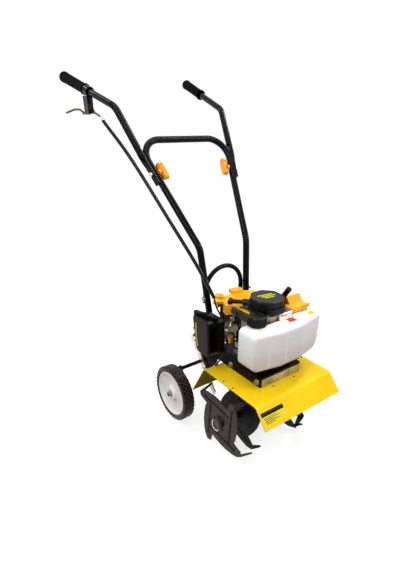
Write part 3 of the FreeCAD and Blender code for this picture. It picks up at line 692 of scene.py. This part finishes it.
def guard_labels():
    """A blank label down the front slope: a black band, and bars on a yellow field."""
    top, down, out = FRONT_SLOPE
    lift, bar_lift = out * (0.1 * MM), out * (0.22 * MM)
    for name, material, start, end, right, left in (
        ("band", LABEL_BLACK, 18.5, 29.6, -140.6, -62.0),
        ("field", LABEL_YELLOW, 29.6, 53.5, -139.0, -66.8),
    ):
        a, b = top + down * (start * MM) + lift, top + down * (end * MM) + lift
        corners = (a + Y * right * MM, b + Y * right * MM, b + Y * left * MM, a + Y * left * MM)
        film("guard_label_" + name, "chassis", corners, material)
    first, step, thick, right_end = 33.2, 3.7, 1.3, -136.5
    for i, reach in enumerate((44, 53, 36, 49, 30)):
        start = top + down * ((first + step * i) * MM) + bar_lift + Y * ((right_end + i) * MM)
        end, drop = Y * (reach * MM), down * (thick * MM)
        corners = (start, start + drop, start + drop + end, start + end)
        film("guard_label_line_%d" % i, "chassis", corners, LABEL_BLACK)


def guard_hole_shade():
    """Dark discs that fill the guard's spare holes: painted shade."""
    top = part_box("tine_guard")[1].z / MM
    shade_disc_radius, stands_up, sinks = 2.4, 0.3, 1.5
    bm = bmesh.new()
    for x, y in ((-5, 137), (34, 137), (92, 40)):
        for side in (-1, 1):
            foot, head = at(x, side * y, top - sinks), at(x, side * y, top + stands_up)
            bar(bm, foot, head, shade_disc_radius, edge=0.2)
    piece(bm, "guard_hole_shade", "chassis", (CAP_BLACK,))


def rail(side, word):
    """Frame rail: black, with the bolts through its outer face left bright."""
    outer_face = 78.0

    def bolts(centre):
        return int(centre.y * side / MM > outer_face + 0.2)

    dressed("frame_rail_" + word, (RAIL_BLACK, PASSIVATED), paint=bolts)


guard()
guard_labels()
guard_hole_shade()
both(rail)
dressed("front_crossbar", (BAR_STEEL,), 0.7)
dressed("engine_plate", (RAIL_BLACK,))

# ---- handlebar -------------------------------------------------------------


def lower_bar():
    """Lower handlebar: black, with the bolts through its legs left bright."""
    bolt_reach = 12
    bolts = [
        at(x, side * y, z)
        for side in (-1, 1)
        for x, y, z in ((-141.8, 82, 241.5), (-166.5, 92, 408))
    ]

    def bright(centre):
        return int(any((centre - bolt).length < bolt_reach * MM for bolt in bolts))

    dressed("handlebar_lower", (POWDER_BLACK, PASSIVATED), 0.6, 40, bright)


lower_bar()
dressed("carry_handle", (POWDER_BLACK,), 0.4, 40)
for word in SIDES:
    dressed("handlebar_upper_" + word, (POWDER_BLACK,), 0.5, 40)


def grip(side, word):
    """Slip-on grip: smooth, with a flange at the mouth and a domed end."""
    end = at(-733, side * 235, 1017.7)
    bend = at(-462.2, side * 193.4, 929.6)
    axis = (end - bend).normalized()
    length = 132.0
    profile = [
        (10.4, 0.3),
        (16.6, 0.0),
        (17.2, 0.8),
        (17.2, 5.0),
        (16.6, 7.0),
        (15.7, 9.0),
        (15.3, 12),
        (15.2, 40),
        (15.6, 75),
        (15.8, 105),
        (16.3, 118),
        (17.0, length - 9),
        (17.0, length - 5),
        (16.4, length - 2.5),
        (14.4, length - 0.8),
        (10, length - 0.1),
        (0, length),
    ]
    bm = bmesh.new()
    turned(bm, profile, end - axis * (length * MM), axis, 40)
    piece(bm, "grip_%s_shown" % word, "handle_" + word, (GRIP,), ("grip_" + word,), 50)


def knob(side, word):
    """Clamp knob: an orange wing with a moulded pocket in each half, on a bright bolt."""
    bolt_head, pocket_area = 149, 260

    def bright(centre):
        return int(centre.y * side / MM > bolt_head)

    def pockets(bm):
        broad = [f for f in bm.faces if f.calc_area() > pocket_area * MM**2]
        bmesh.ops.inset_individual(bm, faces=broad, thickness=3 * MM, depth=-2.5 * MM)

    dressed("fold_knob_" + word, (KNOB_ORANGE, ZINC), 0.9, 40, bright, pockets)


both(grip)
both(knob)

# ---- throttle --------------------------------------------------------------

dressed("throttle_clamp", (POWDER_BLACK,), 0.7)


def throttle_lever():
    """Thumb lever: a bent brown-brass rod on a brass pivot block."""
    block_back = at(-601, 0, 0).x

    def pivot(centre):
        return int(centre.x > block_back)

    dressed("throttle_lever", (YELLOW_ZINC, BRASS), 0.6, 40, pivot)


def throttle_cable():
    """Held control cable from the thumb throttle to the carburettor, its route passing the fold.
    """
    fold = at(-333, -180.8, 743)
    points = [
        at(-524, -206.3, 892.5),
        at(-505, -204, 878),
        at(-417.7, -194, 818.5),
        fold,
        at(-242, -160, 643.6),
        at(-158, -134, 544),
        at(-120.3, -115, 481.4),
        at(-101, -102, 438.4),
    ]
    stands = ("throttle_cable_upper", "throttle_cable_lower")
    sheath = pipe("throttle_cable", None, points, 5.1, (CABLE_BLACK,), stands)
    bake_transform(sheath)
    core = [points[-1], at(-96, -99, 412), at(-89, -89, 390), at(-79, -80, 362)]
    pipe("throttle_core", "chassis", core, 2.5, (CABLE_BLACK,))
    lead = [
        at(-574, -211, 914.5),
        at(-553, -208.5, 907.5),
        at(-540, -207.5, 903.5),
        at(-531, -207, 898),
    ]
    pipe("throttle_lead", "handle_right", lead, 3.2, (LEAD_BROWN,))
    bm = bmesh.new()
    bar(bm, at(-533, -207.2, 899.5), at(-521, -206, 890.5), 5.5, 24, edge=0.8)
    piece(bm, "throttle_ferrule", "handle_right", (ZINC,))


throttle_lever()
throttle_cable()

# ---- engine ----------------------------------------------------------------

dressed("crankcase", (WARM_ALLOY,), 0.8)
dressed("cylinder", (DARK_ALLOY,), 0.4)
dressed("muffler", (SCORCHED,), 0.0)
dressed("plug_cap", (HOUSING_BLACK,), 0.4, 50)
dressed("air_cleaner_base", (HOUSING_BLACK,), 0.8)
dressed("fuel_tank", (TANK_WHITE,), 1.5, 50)
dressed("tank_bracket", (RAIL_BLACK,))
dressed("fuel_hose", (HOSE_BLACK,), 0.0, 50)


def shroud():
    """Blower shroud: dished walls, hollow lugs, cooling ribs, and an alloy duct on the right."""
    wall_area, lug_area = 250, 60  # the smallest faces of each kind, in square millimetres
    lugs_front = at(-146, 0, 0).x
    ribs, rib_gap, rib_top = 8, 9, 412.2
    duct_back, duct_front, duct_side = -70, 6, -50

    def dish(bm):
        walls, lugs = [], []
        for face in bm.faces:
            size = face.calc_area() / MM**2
            middle = face.calc_center_median()
            upright = abs(face.normal.z) < 0.2
            if upright and middle.y < 0 and size > wall_area:
                walls.append(face)
            elif upright and middle.x < lugs_front and lug_area < size < wall_area:
                lugs.append(face)
        bmesh.ops.inset_individual(bm, faces=walls, thickness=2.6 * MM, depth=-2.2 * MM)
        bmesh.ops.inset_individual(bm, faces=lugs, thickness=1.6 * MM, depth=-5.0 * MM)
        for i in range(ribs):
            length = 92 - 5 * i
            block(bm, at(-62 - rib_gap * i, 2, rib_top), Y, Z, (length, 2.2, 1.6), 0.5)

    def duct(centre):
        ahead, left = (centre.x - SHAFT_LINE.x) / MM, centre.y / MM
        return int(duct_back < ahead < duct_front and left < duct_side)

    dressed("shroud", (SHROUD_ORANGE, DARK_ALLOY), 1.2, paint=duct, extra=dish)


def starter():
    """Recoil starter: a stepped lid with plain printed bars, and its pull handle."""
    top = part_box("recoil_starter")[1].z

    def step(bm):
        lids = [f for f in bm.faces if f.normal.z > 0.99 and f.calc_center_median().z > top - MM]
        bmesh.ops.inset_region(bm, faces=lids, thickness=3.0 * MM, depth=-0.9 * MM)

    dressed("recoil_starter", (STARTER_BLACK,), 0.8, extra=step)
    lid = top / MM - 0.75
    corner = at(-20.8, -17.5, lid)
    along = (at(-12.3, 37.4, lid) - corner).normalized()
    across = along.cross(Z)
    gap, broad = 9.5, 5.5
    for i, (start, end) in enumerate(((2, 50), (8, 56), (14, 44))):
        a = corner + across * ((2 + gap * i) * MM)
        b = a + across * (broad * MM)
        near_end, far_end = along * (start * MM), along * (end * MM)
        corners = (a + near_end, b + near_end, b + far_end, a + far_end)
        film("starter_bar_%d" % i, "chassis", corners, LABEL_LIME)
    neck, stem_end = at(-48, -39.5, 429), at(-74, -62.5, 428)
    bm = bmesh.new()
    bar(bm, neck, stem_end, 5.6, 28, 6.8, edge=0.6)
    bar(bm, at(-83, -55.5, 428), at(-67, -73, 428), 7.2, 28, edge=2.2)
    piece(bm, "starter_grip_shown", "chassis", (HOUSING_BLACK,), ("starter_grip",), 40)


def starter_bracket():
    """Bent sheet between starter and tank, its turned-down tab bright."""
    bend = at(50.5, 0, 0).x

    def tab(centre):
        return int(centre.x > bend)

    dressed("starter_bracket", (SHEET_STEEL, CAST_ALLOY), paint=tab)


def carburettor():
    """Slide carburettor: alloy body, bright throat and cap, brass bowl."""
    bowl_top, cap_foot = 323.5, 362
    throat, throat_radius = at(-68, 0, 343), 14.5

    def metal(centre):
        height = centre.z / MM
        if height < bowl_top:
            return 2
        return int(height > cap_foot or from_axle(centre, throat) < throat_radius)

    dressed("carburettor", (CAST_ALLOY, ZINC, BRASS), 0.6, paint=metal)


def air_cleaner():
    """Air cleaner lid: louvres across its intake slot and a plain printed stripe."""
    face, broad = -160.15, 4.5
    slats, lowest, gap = 7, 309, 10.5

    def louvres(bm):
        for i in range(slats):
            block(bm, at(-62, -140, lowest + gap * i), Y, Z, (28, 8, 1.8))

    dressed("air_cleaner_cover", (HOUSING_BLACK,), 0.8, extra=louvres)
    spots = [(-109.0, 376), (-107.6, 337), (-100.6, 305)]
    for i, ends in enumerate(zip(spots, spots[1:])):
        top, foot = (at(x, face, z) for x, z in ends)
        corners = (top, foot, foot + X * (broad * MM), top + X * (broad * MM))
        film("air_cleaner_stripe_%d" % i, "chassis", corners, LABEL_LIME)


def tank_labels():
    """Two blank stickers on top of the tank, one red and one lime."""
    top = 400.2
    red = [(47.4, 26.2), (57.7, 45.9), (80.3, 46.4), (79.1, 19.2)]
    lime = [(60, 104), (62, 125), (80, 122), (78, 101)]
    for name, spots, material in (("red", red, LABEL_RED), ("lime", lime, LABEL_LIME)):
        corners = [at(x, y, top) for x, y in reversed(spots)]
        film("tank_label_" + name, "chassis", corners, material)


def tank_cap():
    """Screw cap: grip ribs round its side and a stepped lid."""
    low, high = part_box("tank_cap")
    centre = Vector(((low.x + high.x) / 2, (low.y + high.y) / 2, low.z))
    radius, tall = (high.x - low.x) / 2 / MM, (high.z - low.z) / MM
    profile = [
        (0, 0),
        (radius - 2.5, 0),
        (radius - 1.6, 0.8),
        (radius - 1.6, tall - 3.5),
        (radius - 3.2, tall - 1.2),
        (radius - 6, tall - 0.2),
        (radius - 9, tall - 0.2),
        (radius - 10, tall - 1.4),
        (0, tall - 1.4),
    ]
    bm = bmesh.new()
    turned(bm, profile, centre, Z, 72)
    ribs = 30
    for i in range(ribs):
        out = Matrix.Rotation(math.tau * i / ribs, 3, "Z") @ X
        foot = centre + out * ((radius - 1.6) * MM)
        bar(bm, foot + Z * (0.6 * MM), foot + Z * ((tall - 3.2) * MM), 1.5, 6, 1.2)
    piece(bm, "tank_cap_shown", "chassis", (CAP_BLACK,), ("tank_cap",), 40)


shroud()
starter()
starter_bracket()
carburettor()
air_cleaner()
tank_labels()
tank_cap()

# ---- room, lamps and camera ------------------------------------------------

# How strongly the white surround lights the machine; 1 would be full white.
AMBIENT = 0.3
# How much of the light that falls on it the floor shows near the machine, and what it adds.
FLOOR_LIT, FLOOR_GLOW = 0.3, 0.78
# How far off, in metres, the floor starts to fade to plain white, and where it ends.
FADE_START, FADE_END = 0.7, 2.2


def seen_directly(tree):
    """1 for rays from the eye, from a mirror-like bounce or through glass; 0 for others."""
    path = add(tree, "LightPath")
    total = path.outputs["Is Camera Ray"]
    for other in ("Is Glossy Ray", "Is Transmission Ray"):
        pair = {0: total, 1: path.outputs[other]}
        total = add(tree, "Math", pair, operation="ADD", use_clamp=True).outputs[0]
    return total


def surround():
    """The world: plain white to the eye and in reflections, dimmer as a source of light."""
    world = bpy.data.worlds.new("white_surround")
    bpy.context.scene.world = world
    world.use_nodes = True
    background = world.node_tree.nodes["Background"]
    background.inputs["Color"].default_value = (1, 1, 1, 1)
    strength = spread(world.node_tree, seen_directly(world.node_tree), AMBIENT, 1.0, 0.0, 1.0)
    world.node_tree.links.new(strength, background.inputs["Strength"])


def floor():
    """A white floor that keeps the shadow near the machine and fades to plain white."""
    half_side = 40.0
    bm = bmesh.new()
    bmesh.ops.create_grid(bm, x_segments=1, y_segments=1, size=half_side)
    mesh = bpy.data.meshes.new("floor")
    bm.to_mesh(mesh)
    bm.free()
    made = bpy.data.objects.new("floor", mesh)
    bpy.context.scene.collection.objects.link(made)
    material = bpy.data.materials.new("white_floor_paint")
    material.use_nodes = True
    tree = material.node_tree
    tree.nodes.remove(tree.nodes["Principled BSDF"])
    away = add(tree, "VectorMath", {0: place(tree)}, operation="LENGTH").outputs["Value"]
    share = spread(tree, away, FLOOR_LIT, 0.0, FADE_START, FADE_END)
    glow = spread(tree, away, FLOOR_GLOW, 1.0, FADE_START, FADE_END)
    grey = add(tree, "CombineColor", {"Red": share, "Green": share, "Blue": share})
    paint = add(tree, "BsdfDiffuse", {"Color": grey.outputs[0]})
    shine = add(tree, "Emission", {"Strength": glow})
    lit = add(tree, "AddShader", {0: paint.outputs[0], 1: shine.outputs[0]})
    # what bounces back onto the machine is kept low, so its underside stays dark
    dull = add(tree, "BsdfDiffuse", {"Color": (0.3, 0.3, 0.3, 1)})
    mix = add(
        tree,
        "MixShader",
        {"Fac": seen_directly(tree), 1: dull.outputs[0], 2: lit.outputs[0]},
    )
    tree.links.new(mix.outputs[0], tree.nodes["Material Output"].inputs["Surface"])
    mesh.materials.append(material)


def lamp(name, spot, target, size, power, lean=0):
    """A soft lamp, its panel in metres, aimed at a point and leaned by some degrees."""
    light = bpy.data.lights.new(name, "AREA")
    light.shape = "RECTANGLE"
    light.size, light.size_y = size
    light.energy = power
    made = bpy.data.objects.new(name, light)
    made.location = spot
    aim = (target - spot).to_track_quat("-Z", "Y").to_matrix()
    aim = aim @ Matrix.Rotation(math.radians(lean), 3, "Z")
    made.rotation_euler = aim.to_euler()
    bpy.context.scene.collection.objects.link(made)


def camera():
    """Stands to the right and ahead of the machine, looking down and back at it."""
    yaw, pitch, roll = (math.radians(angle) for angle in (142.434, -22.578, 0.9605))
    ahead = Vector(
        (math.cos(pitch) * math.cos(yaw), math.cos(pitch) * math.sin(yaw), math.sin(pitch))
    )
    right = Vector((math.sin(yaw), -math.cos(yaw), 0))
    up = right.cross(ahead)
    view = Matrix((right, up, -ahead)).transposed()
    view = Matrix.Rotation(roll, 3, -ahead) @ view
    data = bpy.data.cameras.new("camera")
    data.lens, data.sensor_width = 26.65, 36.0
    data.shift_x, data.shift_y = -0.0110, 0.0084
    made = bpy.data.objects.new("camera", data)
    made.matrix_world = Matrix.Translation(at(769.4, -779.5, 909.1)) @ view.to_4x4()
    bpy.context.scene.collection.objects.link(made)
    bpy.context.scene.camera = made


surround()
floor()
# Two broad lamps for plain light, and strips that draw highlights along tubes and edges.
machine, handles, guard_top = at(-150, 0, 400), at(-300, 0, 700), at(100, 0, 228)
lamp("overhead", at(-100, -100, 3200), machine, (2.2, 2.2), 30)
lamp("front", at(2000, 700, 1300), machine, (0.9, 1.6), 5)
lamp("strip_front", at(1050, 1130, 1560), handles, (1.2, 0.1), 15)
lamp("strip_right", at(325, -1500, 1700), handles, (0.1, 1.9), 26, 45)
lamp("strip_left", at(-230, 1040, 1890), guard_top, (0.08, 1.0), 12)
lamp("strip_behind", at(-1700, -900, 1500), machine, (0.1, 1.6), 10)
camera()
bpy.context.scene.view_settings.view_transform = "Standard"
